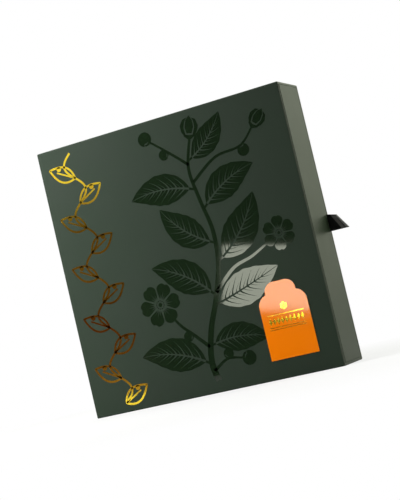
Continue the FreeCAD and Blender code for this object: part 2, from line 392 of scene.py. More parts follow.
@dataclass(frozen=True)
class WrapPaper(Finish):
    """Dark printed paper with a soft-touch film, glued round board."""

    node: str
    fleck: Colour
    worn_and_highlit_tone: Colour
    gloss: float
    rim: float = 0.0
    # The rim's paler tone is a painted sheen on the turned-in rim.
    rim_sheen_tone: Colour = (0.062, 0.074, 0.054, 1.0)
    rim_roughness: float = 0.36
    reach: float = 0.7 * MM
    wear_and_highlight: float = 0.55
    polish: float = -0.035

    def shade(self, graph: Graph, shader: Mapping) -> None:
        """Feed the shader with grain, paler edges of rubbed wear and painted highlight, hand marks
        and a turned-in rim painted paler as a painted sheen.

        Args:
            graph: The material's graph.
            shader: The Principled shader's inputs.
        """
        low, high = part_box(self.node)
        grain = Effects.place(graph, "paper_grain", tone=self.tone, fleck=self.fleck,
                              roughness=self.roughness)
        edges = Effects.place(graph, "edge_wear", centre=tuple((low + high) / 2),
                              half_size=tuple((high - low) / 2), reach=self.reach)
        marks = Effects.place(graph, "handling", size=26.0, dust=0.25)
        # Paler edges: rubbed wear together with a painted edge highlight.
        paler_share = graph.maths("MULTIPLY", edges["Mask"], self.wear_and_highlight)
        colour = graph.mixed(paler_share, grain["Color"], self.worn_and_highlit_tone)
        roughness = graph.scaled(marks["Mask"], self.polish, grain["Roughness"])
        # Painted sheen: the turned-in rim is painted paler, standing in for the light it catches.
        if self.rim:
            along = graph.axes(graph.here())["X"]
            turned = graph.between(along, high.x - self.rim, high.x - 0.6 * self.rim)
            colour = graph.mixed(turned, colour, self.rim_sheen_tone)
            roughness = graph.out("ShaderNodeMix", {0: turned, 2: roughness,
                                                    3: self.rim_roughness})
        graph.feed(shader["Base Color"], colour)
        graph.feed(shader["Roughness"], roughness)
        shader["Specular IOR Level"].default_value = self.gloss
        self.emboss(graph, shader, grain["Height"])


@dataclass(frozen=True)
class Film(Finish):
    """A smooth dimpled film, a little handled, in two close tones."""

    deep: Colour
    dimples: float
    ripple: float
    share: float
    mark_size: float
    dust: float
    haze: float
    metallic: float = 0.0

    def ink(self, graph: Graph, film: Mapping) -> Socket:
        """The film's colour, from the shared film effect."""
        return graph.mixed(film["Spread"], self.tone, self.deep)

    def shade(self, graph: Graph, shader: Mapping) -> None:
        """Feed the shader with the film's colour, dimples and hand marks.

        Args:
            graph: The material's graph.
            shader: The Principled shader's inputs.
        """
        film = Effects.place(graph, "pressed_film", dimples=self.dimples, ripple=self.ripple,
                             share=self.share)
        marks = Effects.place(graph, "handling", size=self.mark_size, dust=self.dust)
        graph.feed(shader["Base Color"], self.ink(graph, film))
        graph.feed(shader["Roughness"], graph.scaled(marks["Mask"], self.haze, self.roughness))
        shader["Metallic"].default_value = self.metallic
        self.emboss(graph, shader, film["Height"])


class Foil(Film):
    """Hot-stamped metal foil, pressed a little into the paper."""

    def ink(self, graph: Graph, film: Mapping) -> Socket:
        """The foil's colour, which follows its relief."""
        return graph.mixed(graph.between(film["Height"], 0.35, 0.65), self.tone, self.deep)


@dataclass(frozen=True)
class PlaqueStock(Film):
    """Metallised card under a gloss film, with a pale cut edge."""

    cut: Colour = (0.86, 0.46, 0.16, 1.0)
    fade: float = 0.35

    def ink(self, graph: Graph, film: Mapping) -> Socket:
        """The card's colour, a little deeper towards the top and pale at the cut edge.

        Args:
            graph: The material's graph.
            film: The shared film effect.

        Returns:
            The colour's socket.
        """
        low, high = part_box("label")
        rise = graph.between(graph.axes(graph.here())["Z"], low.z, high.z)
        depth = graph.scaled(film["Spread"], self.fade, graph.maths("MULTIPLY", rise, self.fade))
        ink = graph.mixed(depth, self.tone, self.deep)
        facing = graph.add("ShaderNodeNewGeometry").outputs["True Normal"]
        edge = graph.between(graph.maths("ABSOLUTE", graph.axes(facing)["Y"]), 0.7, 0.3)
        return graph.mixed(edge, ink, self.cut)


@dataclass(frozen=True)
class SatinRibbon(Finish):
    """Black double-faced satin with close ribs, with a painted highlight on the slanted fold.

    The painted highlight's bands are shares of the fold's width, measured back from the tip.
    """

    float_tone: Colour
    fold_highlight_tone: Colour
    fold: float
    slant: float
    band: Point = (1.0, 0.85)
    crease_start: Point = (0.50, 0.42)
    crease_end: Point = (0.26, 0.34)
    turn: Point = (0.30, 0.12)

    def shade(self, graph: Graph, shader: Mapping) -> None:
        """Feed the shader with the weave, hand marks and the fold's painted highlight in two paler
        ridges.

        Args:
            graph: The material's graph.
            shader: The Principled shader's inputs.
        """
        weave = Effects.place(graph, "satin_weave", warps=4.5, wefts=3.2)
        marks = Effects.place(graph, "handling", size=220.0, dust=0.7)
        low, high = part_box("ribbon_pull")
        part = graph.axes(graph.here())
        lean = self.slant / (high.z - low.z)
        up = graph.maths("SUBTRACT", part["Z"], low.z)
        along = graph.maths("ADD", part["X"], graph.maths("MULTIPLY", up, lean))

        def rise(shares: Point) -> Socket:
            """Rise from one share of the fold's width to another."""
            return graph.between(along, *(high.x - share * self.fold for share in shares))

        # Painted highlight on the fold: two paler ridges with a darker crease between them, fading
        # towards the tip.
        crease = graph.maths("MULTIPLY", rise(self.crease_start), rise(self.crease_end))
        shown = graph.maths("MULTIPLY", graph.scaled(crease, -0.60, 1.0),
                            graph.scaled(rise(self.turn), -0.70, 1.0))
        paler_share = graph.maths("MULTIPLY", rise(self.band), shown)
        woven = graph.mixed(weave["Float"], self.tone, self.float_tone)
        graph.feed(shader["Base Color"], graph.mixed(paler_share, woven, self.fold_highlight_tone))
        graph.feed(shader["Roughness"], graph.scaled(marks["Mask"], 0.15, self.roughness))
        shader["Specular IOR Level"].default_value = 0.30
        shader["Sheen Weight"].default_value = 0.05
        shader["Sheen Roughness"].default_value = 0.35
        self.emboss(graph, shader, weave["Height"])


PANEL_PAPER = WrapPaper(
    "wrap_paper", tone=(0.0068, 0.0184, 0.0072, 1.0), roughness=0.68, relief=0.22,
    depth=0.06 * MM, node="sleeve", fleck=(0.0090, 0.0226, 0.0094, 1.0),
    worn_and_highlit_tone=(0.050, 0.066, 0.046, 1.0), gloss=0.29, rim=1.1 * MM)
# The tray's paper is the panel's paper painted lighter and more olive: painted light for the lit end
# of the tray.
TRAY_PAPER_PAINTED_LIGHT = WrapPaper(
    "tray_paper", tone=(0.020, 0.031, 0.0155, 1.0), roughness=0.36, relief=0.22,
    depth=0.06 * MM, node="tray", fleck=(0.025, 0.038, 0.0195, 1.0),
    worn_and_highlit_tone=(0.10, 0.12, 0.09, 1.0), gloss=0.50)
CLEAR_VARNISH = Film(
    "clear_varnish", tone=(0.0084, 0.0176, 0.0072, 1.0), roughness=0.035, relief=0.04,
    depth=0.05 * MM, deep=(0.0064, 0.0142, 0.0056, 1.0), dimples=1500.0, ripple=70.0, share=0.25,
    mark_size=34.0, dust=0.6, haze=0.03)
GOLD_FOIL = Foil(
    "gold_foil", tone=(1.0, 0.76, 0.060, 1.0), roughness=0.06, relief=0.08, depth=0.04 * MM,
    deep=(0.92, 0.62, 0.040, 1.0), dimples=1100.0, ripple=120.0, share=0.6, mark_size=55.0,
    dust=0.5, haze=0.03, metallic=1.0)
PLAQUE_STOCK = PlaqueStock(
    "plaque", tone=(0.90, 0.205, 0.0012, 1.0), roughness=0.05, relief=0.05, depth=0.05 * MM,
    deep=(0.80, 0.175, 0.0008, 1.0), dimples=1700.0, ripple=55.0, share=0.2, mark_size=60.0,
    dust=0.4, haze=0.04)
# The fold tone is a painted highlight on the black satin.
SATIN_RIBBON = SatinRibbon(
    "satin_ribbon", tone=(0.0020, 0.0019, 0.0021, 1.0), roughness=0.50, relief=0.55,
    depth=0.12 * MM, float_tone=(0.0050, 0.0048, 0.0052, 1.0),
    fold_highlight_tone=(0.150, 0.146, 0.140, 1.0), fold=7.5 * MM, slant=9.5 * MM)


# Mesh making ---------------------------------------------------------------------------------


def add_object(name: str, data: bpy.types.ID) -> bpy.types.Object:
    """Put a mesh, lamp or camera in the scene.

    Args:
        name: The object's name.
        data: What the object shows.

    Returns:
        The object.
    """
    piece = bpy.data.objects.new(name, data)
    bpy.context.scene.collection.objects.link(piece)
    return piece


def plates(name: str, outlines: Iterable[Outline], base: float, top: float) -> bpy.types.Mesh:
    """Make closed thin plates from flat outlines.

    Args:
        name: The mesh's name.
        outlines: Outlines in millimetres, which may run either way.
        base: Height of the underside, in metres.
        top: Height of the upper side, in metres.

    Returns:
        The mesh, lying flat.
    """
    build = bmesh.new()
    for outline in outlines:
        lower = [build.verts.new((x * MM, y * MM, base)) for x, y in outline]
        upper = [build.verts.new((x * MM, y * MM, top)) for x, y in outline]
        build.faces.new(upper)
        build.faces.new(list(reversed(lower)))
        for index in range(len(outline)):
            after = (index + 1) % len(outline)
            build.faces.new((lower[index], lower[after], upper[after], upper[index]))
    build.normal_update()
    bmesh.ops.triangulate(build, faces=[face for face in build.faces if len(face.verts) > 4],
                          ngon_method="EAR_CLIP")
    bmesh.ops.recalc_face_normals(build, faces=build.faces)
    mesh = bpy.data.meshes.new(name)
    build.to_mesh(mesh)
    build.free()
    return mesh


def stand(mesh: bpy.types.Mesh, place: Place, turn: float = 0.0) -> None:
    """Stand a flat mesh up, so that it faces -Y, and put it in its place.

    Args:
        mesh: The mesh, lying flat.
        place: Where its origin goes.
        turn: Its turn about the upright axis, in radians.
    """
    mesh.transform(Matrix.Translation(place) @ Matrix.Rotation(turn, 4, "Z")
                   @ Matrix.Rotation(math.pi / 2, 4, "X"))


def grow(name: str, tree: bpy.types.NodeTree, seed: bpy.types.Mesh,
         values: Mapping[str, object]) -> bpy.types.Object:
    """Run a Geometry Nodes tree on a mesh and keep its result as a plain mesh.

    Args:
        name: The new object's name.
        tree: The Geometry Nodes tree.
        seed: The mesh that the tree starts from.
        values: The tree's inputs by name.

    Returns:
        The object, with no modifier left.
    """
    piece = add_object(name, seed)
    modifier = piece.modifiers.new("grow", "NODES")
    modifier.node_group = tree
    sockets = {item.name: item.identifier for item in tree.interface.items_tree
               if item.item_type == "SOCKET" and item.in_out == "INPUT"}
    for key, value in values.items():
        modifier[sockets[key]] = value
    graph = bpy.context.evaluated_depsgraph_get()
    mesh = bpy.data.meshes.new_from_object(piece.evaluated_get(graph), depsgraph=graph)
    piece.modifiers.remove(modifier)
    piece.data = mesh
    return piece


def finish_piece(piece: bpy.types.Object) -> None:
    """Let a finished piece ride on the box and report it.

    Args:
        piece: The piece.
    """
    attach(piece, BODY)
    LOG.info("%s: %d faces", piece.name, len(piece.data.polygons))


def dress(node: str, material: bpy.types.Material) -> None:
    """Give a CAD node its finish.

    Args:
        node: The node's name.
        material: The finish.
    """
    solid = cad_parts[node]
    if not solid.material_slots:
        solid.data.materials.append(material)
    for slot in solid.material_slots:
        slot.material = material
    LOG.info("%s: %s", node, material.name)


def disc(x: float, y: float, radius: float, steps: int) -> Outline:
    """Outline of a disc.

    Args:
        x: The middle's first coordinate.
        y: The middle's second coordinate.
        radius: The radius.
        steps: How many points it has.

    Returns:
        The outline, anticlockwise.
    """
    return [(x + radius * math.cos(math.tau * step / steps),
             y + radius * math.sin(math.tau * step / steps)) for step in range(steps)]


def rounded_strip(wide: float, high: float, radius: float) -> Outline:
    """Outline of a rectangle about the origin with rounded corners.

    Args:
        wide: Its width.
        high: Its height.
        radius: Its corners' radius.

    Returns:
        The outline, anticlockwise.
    """
    ring: Outline = []
    for corner in range(4):
        x = (wide / 2 - radius) * (1 if corner in (0, 3) else -1)
        y = (high / 2 - radius) * (1 if corner in (0, 1) else -1)
        for step in range(6):
            turn = math.pi / 2 * (corner + step / 5)
            ring.append((x + radius * math.cos(turn), y + radius * math.sin(turn)))
    return ring


# Leaves, blossoms and berries of the varnish print -------------------------------------------


class Form(IntEnum):
    """What grows at one place on the sprig, in the order of the tree's inputs."""

    LEAF_LEFT = 0
    LEAF_STRAIGHT = 1
    LEAF_RIGHT = 2
    BLOSSOM = 3
    BUD = 4
    BERRY = 5

    @property
    def label(self) -> str:
        """The form's name among the tree's inputs."""
        return self.name.capitalize().replace("_", " ")


@dataclass(frozen=True)
class LeafShape:
    """A smooth-edged leaf in two halves, with its veins left bare. Lengths in millimetres."""

    bend: float
    length: float = 70.0
    width: float = 33.0
    veins: int = 6
    first_vein: float = 0.10
    veined: float = 0.74
    stalk: float = 6.0
    steps: int = 56
    pitch: float = 0.02

    def half_width(self, share: float) -> float:
        """Distance from midrib to edge at a share of the length.

        Args:
            share: The share of the length, from the foot.

        Returns:
            The distance.
        """
        if share <= 0.0 or share >= 1.0:
            return 0.0
        swell = math.sin(math.pi * share ** 0.82) ** 0.92
        ripple = 0.35 * math.sin(math.tau * self.veins * share) * math.sin(math.pi * share)
        return self.width / 2 * swell + ripple

    def rib(self, share: float) -> float:
        """Half of the bare midrib's width at a share of the length."""
        return 0.95 * (1.0 - share) + 0.16

    def vein(self, start: float, long: bool) -> list[Point]:
        """Lay out one bare side vein as a slit from the midrib.

        Args:
            start: Where it leaves the midrib, as a share of the length.
            long: Whether it is a main vein rather than a fine one.

        Returns:
            Points round the slit, as shares of the length and distances from the midrib.
        """
        run, reach, gape = (0.17, 0.82, 0.80) if long else (0.10, 0.42, 0.34)
        end = min(start + run, 0.97)
        low = self.rib(start)
        rise = reach * self.half_width(end) - low
        middle = [(start + (end - start) * share ** 1.25, low + rise * share,
                   (gape * (1.0 - share) + 0.10) / self.length)
                  for share in (step / 5 for step in range(6))]
        there = [(along - spread, away) for along, away, spread in middle]
        back = [(along + spread, away) for along, away, spread in reversed(middle)]
        return there + back

    def half(self) -> list[Point]:
        """Points round the upper half: along the midrib with its slits, then back by the edge.

        Returns:
            Shares of the length and distances from the midrib.
        """
        slits = [(self.first_vein + self.veined * index / self.veins, True)
                 for index in range(self.veins)]
        slits += [(start + self.veined / 2 / self.veins, False) for start, _ in slits[:-1]]
        ring: list[Point] = []
        share = 0.015

        def follow_rib(end: float) -> None:
            """Go along the midrib up to a share of the length.

            Args:
                end: The share to stop at.
            """
            nonlocal share
            while share < end:
                ring.append((share, self.rib(share)))
                share += self.pitch

        for start, long in sorted(slits):
            cut = self.vein(start, long)
            follow_rib(cut[0][0] - 0.004)
            ring += cut
            share = cut[-1][0] + 0.006
        follow_rib(0.985)
        for step in range(self.steps, 0, -1):
            along = step / self.steps
            edge = max(self.half_width(along * 0.997), self.rib(along) + 0.05)
            ring.append((0.012 + 0.985 * along, edge))
        return ring

    def bent(self, along: float, away: float) -> Point:
        """Bend a point of the straight leaf round a circle.

        Args:
            along: Distance along the midrib.
            away: Distance to the left of it.

        Returns:
            The bent point.
        """
        radius = self.length / math.radians(self.bend)
        turn = along / radius
        return ((radius - away) * math.sin(turn), radius - (radius - away) * math.cos(turn))

    def outlines(self) -> list[Outline]:
        """Both halves and the stalk, with the leaf's foot at the origin and its tip along +X.

        Returns:
            The outlines of the two halves, which run clockwise, and of the stalk.
        """
        half = self.half()
        left = [self.bent(share * self.length, away) for share, away in reversed(half)]
        right = [self.bent(share * self.length, -away) for share, away in half]
        stalk = [(-self.stalk, -1.1), (1.2, -1.3), (1.2, 1.3), (-self.stalk, 1.1)]
        return [[(x + self.stalk, y) for x, y in ring] for ring in (left, right, stalk)]


@dataclass(frozen=True)
class BlossomShape:
    """An open blossom of round petals about a ring of dots. Lengths in millimetres."""

    petals: int = 6
    inner: float = 5.4
    outer: float = 20.0
    gap: float = 1.1
    notch: float = 1.3
    dots: int = 12
    dot_ring: float = 3.7
    dot: float = 0.62
    heart: float = 1.9

    def petal(self, turn: float) -> Outline:
        """Outline of one petal with three bare lines from its foot.

        Args:
            turn: The petal's direction in radians.

        Returns:
            The outline, anticlockwise.
        """
        wide = math.pi / self.petals
        ring: Outline = []
        for step in range(25):
            share = step / 24
            swing = -wide + 2 * wide * share
            bulge = math.cos(swing / wide * math.pi / 2) ** 0.45
            radius = self.inner + (self.outer - self.inner) * (0.42 + 0.58 * bulge)
            radius -= self.notch * math.exp(-((swing / wide) / 0.16) ** 2)
            edge = self.gap / 2 / max(radius, 1.0)
            ring.append((radius, min(max(swing, -wide + edge), wide - edge)))
        for line, reach in ((0.5, 5.0), (0.0, 7.5), (-0.5, 5.0)):
            middle = line * wide * 0.8
            ring += [(self.inner, middle + 0.10), (self.inner + 1.2, middle + 0.055),
                     (self.inner + reach, middle * 1.2), (self.inner + 1.2, middle - 0.055),
                     (self.inner, middle - 0.10)]
        return [(radius * math.cos(turn + swing), radius * math.sin(turn + swing))
                for radius, swing in ring]

    def outlines(self) -> list[Outline]:
        """Petals, dots and the middle, with the foot at the origin and the blossom along +X.

        Returns:
            The outlines of the petals, the dots and the middle.
        """
        rings = [self.petal(math.tau * index / self.petals) for index in range(self.petals)]
        for index in range(self.dots):
            turn = math.tau * (index + 0.5) / self.dots
            rings.append(disc(self.dot_ring * math.cos(turn), self.dot_ring * math.sin(turn),
                              self.dot, 10))
        rings.append(disc(0.0, 0.0, self.heart, 20))
        away = 0.86 * self.outer
        return [[(x + away, y) for x, y in ring] for ring in rings]


def bud_outlines() -> list[Outline]:
    """A closed bud of three overlapping petals in a cup, with its foot at the origin.

    Returns:
        The outlines of the petals and the cup.
    """
    middle = [(4.5, -2.0), (9.0, -3.4), (14.0, -2.6), (17.6, 0.0), (14.0, 2.6), (9.0, 3.4),
              (4.5, 2.0)]
    side = [(3.6, 2.9), (8.6, 4.3), (13.2, 3.6), (16.0, 1.9), (14.6, 5.2), (10.0, 7.2),
            (5.6, 6.2), (3.2, 4.4)]
    cup = [(0.0, -1.2), (2.6, -4.6), (3.6, -4.0), (3.0, 0.0), (3.6, 4.0), (2.6, 4.6),
           (0.0, 1.2)]
    other = [(x, -y) for x, y in reversed(side)]
    return [middle, side, other, cup]


def berry_outlines() -> list[Outline]:
    """A round berry with a bare crescent glint, with its foot at the origin.

    Returns:
        The berry's one outline.
    """
    ring = [(5.4, turn) for turn in range(122, 479, 12)]
    glint = [(5.4, 117), (3.3, 119), (3.1, 150), (3.5, 188), (4.0, 152), (4.2, 124)]
    return [[(5.2 + radius * math.cos(math.radians(turn)), radius * math.sin(math.radians(turn)))
             for radius, turn in ring + glint]]


@dataclass(frozen=True)
class Stem:
    """One stem of the sprig: the points it passes, and its width at foot and tip, in millimetres."""

    points: tuple[Point, ...]
    foot: float
    tip: float


@dataclass(frozen=True)
class Shoot:
    """Something that grows on a stem."""

    stem: int
    along: float
    swing: float
    form: Form
    size: float = 1.0


@dataclass
class VarnishSprig:
    """Varnish print on the front: a leafy sprig with blossoms and berries. Millimetres."""

    base: float = 0.01
    stem_top: float = 0.05
    shoot_top: float = 0.08
    stems: tuple[Stem, ...] = (
        Stem(((6, 12), (3, 32), (10, 62), (24, 94), (34, 126), (36, 158), (30, 190), (26, 222),
              (34, 250)), 7.0, 2.8),
        Stem(((5, 46), (-10, 62), (-20, 72), (-27, 82)), 3.8, 2.4),
        Stem(((25, 97), (48, 116), (70, 123), (89, 132)), 3.8, 2.2),
        Stem(((4, 22), (20, 31), (36, 29)), 3.0, 2.0),
        Stem(((27, 226), (8, 244), (-8, 258)), 3.0, 2.0),
        Stem(((28, 208), (56, 226), (84, 230), (100, 244)), 3.2, 2.0),
    )
    shoots: tuple[Shoot, ...] = (
        Shoot(0, 0.072, 58, Form.LEAF_LEFT, 1.02),
        Shoot(0, 0.144, -64, Form.LEAF_RIGHT, 0.86),
        Shoot(0, 0.309, -50, Form.LEAF_STRAIGHT, 1.02),
        Shoot(0, 0.350, 62, Form.LEAF_LEFT),
        Shoot(0, 0.484, -46, Form.LEAF_LEFT, 1.05),
        Shoot(0, 0.562, 66, Form.LEAF_RIGHT, 0.92),
        Shoot(0, 0.706, -60, Form.LEAF_RIGHT, 0.92),
        Shoot(0, 0.794, 60, Form.LEAF_LEFT, 0.95),
        Shoot(0, 0.912, -50, Form.LEAF_LEFT, 0.78),
        Shoot(0, 1.0, 6, Form.BUD, 1.35),
        Shoot(1, 1.0, 0, Form.BLOSSOM, 1.12),
        Shoot(1, 0.45, 58, Form.BERRY),
        Shoot(2, 1.0, 0, Form.BLOSSOM, 0.86),
        Shoot(3, 1.0, 0, Form.BERRY, 1.35),
        Shoot(3, 0.55, 60, Form.BERRY),
        Shoot(4, 1.0, 0, Form.BERRY, 1.35),
        Shoot(4, 0.55, 64, Form.BERRY),
        Shoot(5, 1.0, 0, Form.BUD, 1.2),
        Shoot(5, 0.72, -58, Form.BERRY, 1.15),
    )

    def templates(self) -> dict[str, bpy.types.Object]:
        """Build one object for each form, by the form's label.

        Returns:
            The objects, in the order of the forms.
        """
        shapes = (LeafShape(34.0).outlines(), LeafShape(6.0).outlines(),
                  LeafShape(-34.0).outlines(), BlossomShape().outlines(), bud_outlines(),
                  berry_outlines())
        return {form.label: add_object(f"template_{form.name.lower()}",
                                       plates(form.name.lower(), outlines, self.base * MM,
                                              self.shoot_top * MM))
                for form, outlines in zip(Form, shapes)}

    def seed(self) -> bpy.types.Mesh:
        """Lay out the stems as chains of edges and the shoots as loose points with attributes.

        Returns:
            The mesh that the sprig's tree starts from.
        """
        places: list[Place] = []
        edges: list[tuple[int, int]] = []
        girths: list[float] = []
        for stem in self.stems:
            first = len(places)
            last = len(stem.points) - 1
            for index, (x, y) in enumerate(stem.points):
                places.append((x * MM, y * MM, 0.0))
                girths.append((stem.foot + (stem.tip - stem.foot) * index / last) * MM)
            edges += [(first + index, first + index + 1) for index in range(last)]
        blank = [0] * len(places)
        places += [(0.0, 0.0, 0.0)] * len(self.shoots)
        mesh = bpy.data.meshes.new("sprig_seed")
        mesh.from_pydata(places, edges, [])
        columns = {
            "girth": ("FLOAT", girths + [0.0] * len(self.shoots)),
            "form": ("INT", [-1] * len(blank) + [int(shoot.form) for shoot in self.shoots]),
            "stem": ("INT", blank + [shoot.stem for shoot in self.shoots]),
            "along": ("FLOAT", blank + [shoot.along for shoot in self.shoots]),
            "swing": ("FLOAT", blank + [math.radians(shoot.swing) for shoot in self.shoots]),
            "size": ("FLOAT", blank + [shoot.size for shoot in self.shoots]),
        }
        for label, (kind, values) in columns.items():
            mesh.attributes.new(label, kind, "POINT").data.foreach_set("value", values)
        return mesh

    @staticmethod
    def tree() -> bpy.types.NodeTree:
        """Build the tree that smooths the stems and sets each shoot on its own stem.

        Returns:
            The tree.
        """
        graph, given, out = make_group(
            "varnish_sprig", "Geometry",
            [("Geometry", "Geometry", None), *((form.label, "Object", None) for form in Form),
             ("Base", "Float", 0.0), ("Stem top", "Float", 0.0), ("Step", "Float", 0.0015),
             ("Material", "Material", None)],
            [("Geometry", "Geometry")])

        def attribute(name: str, kind: str = "FLOAT") -> Socket:
            """Read one of the seed's attributes."""
            return graph.geo("InputNamedAttribute", {"Name": name}, data_type=kind)

        is_shoot = graph.out("FunctionNodeCompare", {2: attribute("form", "INT"), 3: 0},
                             data_type="INT", operation="GREATER_EQUAL")
        parted = graph.add("GeometryNodeSeparateGeometry",
                           {"Geometry": given["Geometry"], "Selection": is_shoot}).outputs
        chain = graph.geo("MeshToCurve", {"Mesh": parted["Inverted"]})
        smooth = graph.geo("CurveSplineType", {"Curve": chain}, spline_type="CATMULL_ROM")
        stems = graph.geo("ResampleCurve", {"Curve": smooth, "Length": given["Step"]},
                          mode="LENGTH")
        part = graph.axes(graph.geo("InputPosition"))
        upper = graph.maths("GREATER_THAN", part[2], 0.0)
        depth = graph.maths("SUBTRACT", given["Stem top"], given["Base"])
        flat = graph.vector(part[0], part[1], graph.scaled(upper, depth, given["Base"]))
        strips = graph.moved(graph.strip(stems, 1.0, 1.0, attribute("girth")), flat)

        sample = graph.add("GeometryNodeSampleCurve",
                           {"Curves": stems, "Factor": attribute("along"),
                            "Curve Index": attribute("stem", "INT")}, mode="FACTOR").outputs
        heading = graph.out("FunctionNodeAlignRotationToVector", {"Vector": sample["Tangent"]},
                            axis="X", pivot_axis="Z")
        turn = graph.out("FunctionNodeRotateRotation",
                         {"Rotation": heading, "Rotate By": graph.turned(attribute("swing"))},
                         rotation_space="LOCAL")
        shapes = [graph.add("GeometryNodeObjectInfo", {"Object": given[form.label],
                                                       "As Instance": True}).outputs["Geometry"]
                  for form in reversed(Form)]
        grown = graph.geo("InstanceOnPoints",
                          {"Points": graph.moved(parted["Selection"], sample["Position"]),
                           "Instance": graph.join(*shapes), "Pick Instance": True,
                           "Instance Index": attribute("form", "INT"), "Rotation": turn,
                           "Scale": attribute("size")})
        graph.feed(out["Geometry"], graph.inked(graph.join(strips, grown), given["Material"]))
        return graph.tree

    def build(self) -> None:
        """Print the sprig on the front panel."""
        templates = self.templates()
        values = {**templates, "Base": self.base * MM, "Stem top": self.stem_top * MM,
                  "Material": CLEAR_VARNISH.material()}
        sprig = grow("varnish_sprig", self.tree(), self.seed(), values)
        for shape in templates.values():
            bpy.data.objects.remove(shape)
        low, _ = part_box("sleeve")
        stand(sprig.data, (0.0, low.y, low.z))
        finish_piece(sprig)


# Foil border ---------------------------------------------------------------------------------


@dataclass
class FoilVine:
    """Foil print up the panel's left side: a running vine with a leaf in each of its bends."""

    from_edge: float = 17.5 * MM
    band: float = 40.0 * MM
    foot: float = 9.5 * MM
    waves: float = 5.0
    height: float = 262.0 * MM
    amplitude: float = 9.5 * MM
    stroke: float = 2.2 * MM
    gauge: float = 0.05 * MM
    leaf_length: float = 30.0 * MM
    leaf_width: float = 15.5 * MM
    leaf_swing: float = 62.0
    dot: float = 2.6 * MM
    dot_gap: float = 6.5 * MM

    @staticmethod
    def tree() -> bpy.types.NodeTree:
        """Build the tree that draws the vine, its outlined leaves and its dots.

        Returns:
            The tree.
        """
        graph, given, out = make_group(
            "foil_vine", "Geometry",
            [("Geometry", "Geometry", None), ("Height", "Float", 0.26), ("Waves", "Float", 5.0),
             ("Amplitude", "Float", 0.01), ("Stroke", "Float", 0.002), ("Gauge", "Float", 0.0001),
             ("Leaf length", "Float", 0.02), ("Leaf width", "Float", 0.01),
             ("Leaf swing", "Float", 1.0), ("Dot", "Float", 0.002),
             ("Dot reach", "Float", 0.006), ("Material", "Material", None)],
            [("Geometry", "Geometry")])
        maths = graph.maths
        part = graph.axes(graph.geo("InputPosition"))

        def stroke(curve: Socket, share: float) -> Socket:
            """Turn a flat curve into a flat strip, at a share of the stroke's width."""
            return graph.strip(curve, maths("MULTIPLY", given["Stroke"], share), given["Gauge"])

        pace = maths("DIVIDE", maths("MULTIPLY", given["Waves"], math.tau), given["Height"])
        wave = maths("SINE", maths("MULTIPLY", part[1], pace))
        line = graph.geo("CurvePrimitiveLine", {"End": graph.vector(y=given["Height"])})
        vine = graph.moved(graph.geo("ResampleCurve", {"Curve": line, "Count": 241}),
                           graph.vector(maths("MULTIPLY", given["Amplitude"], wave), part[1]))

        circle = graph.geo("CurvePrimitiveCircle", {"Resolution": 44, "Radius": 1.0})
        share = graph.scaled(part[0], -0.5, 0.5)
        bow = maths("SINE", maths("MULTIPLY", maths("POWER", share, 0.85), math.pi))
        half = maths("MULTIPLY", maths("MULTIPLY", given["Leaf width"], 0.5),
                     maths("POWER", bow, 0.9))
        outline = graph.moved(circle, graph.vector(
            maths("MULTIPLY", share, given["Leaf length"]),
            maths("MULTIPLY", half, maths("SIGN", part[1]))))
        rib_end = graph.vector(maths("MULTIPLY", given["Leaf length"], 0.72))
        rib = graph.geo("CurvePrimitiveLine", {"End": rib_end})
        leaf = graph.join(stroke(outline, 0.95), stroke(rib, 0.75))

        bends = maths("MULTIPLY", given["Waves"], 2.0)
        step = maths("DIVIDE", given["Height"], bends)
        index = graph.geo("InputIndex")
        side = maths("SUBTRACT", maths("MULTIPLY", maths("MODULO", index, 2.0), 2.0), 1.0)

        def row(lift: float, reach: object) -> Socket:
            """One point in each bend, at a share of the bend's height and a sideways reach."""
            up = maths("MULTIPLY", maths("ADD", index, lift), step)
            return graph.moved(graph.geo("Points", {"Count": bends}),
                               graph.vector(maths("MULTIPLY", side, reach), up))

        turn = graph.turned(graph.scaled(side, given["Leaf swing"], math.pi / 2))
        leaves = graph.geo("InstanceOnPoints",
                           {"Points": row(0.0, 0.0), "Instance": leaf, "Rotation": turn})
        round_dot = graph.geo("MeshCylinder",
                              {"Vertices": 20, "Radius": given["Dot"], "Depth": given["Gauge"]},
                              fill_type="NGON")
        beside = maths("MULTIPLY", given["Dot reach"], -1.0)
        dots = graph.geo("InstanceOnPoints", {"Points": row(0.5, beside), "Instance": round_dot})
        lifted = graph.geo("Transform", {
            "Geometry": graph.join(graph.strip(vine, given["Stroke"], given["Gauge"]), leaves,
                                   dots),
            "Translation": graph.vector(z=graph.scaled(given["Gauge"], 0.5, 0.01 * MM))})
        graph.feed(out["Geometry"], graph.inked(lifted, given["Material"]))
        return graph.tree

    def build(self, foil: bpy.types.Material) -> None:
        """Print the vine on the front panel.

        Args:
            foil: The foil's material.
        """
        values = {"Height": self.height, "Waves": self.waves, "Amplitude": self.amplitude,
                  "Stroke": self.stroke, "Gauge": self.gauge, "Leaf length": self.leaf_length,
                  "Leaf width": self.leaf_width, "Leaf swing": math.radians(self.leaf_swing),
                  "Dot": self.dot, "Dot reach": self.amplitude + self.dot_gap, "Material": foil}
        vine = grow("foil_vine", self.tree(), bpy.data.meshes.new("vine_seed"), values)
        low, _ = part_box("sleeve")
        stand(vine.data, (low.x + self.from_edge + self.band / 2, low.y, low.z + self.foot))
        finish_piece(vine)


# Slipcase, ribbon and plaque -----------------------------------------------------------------


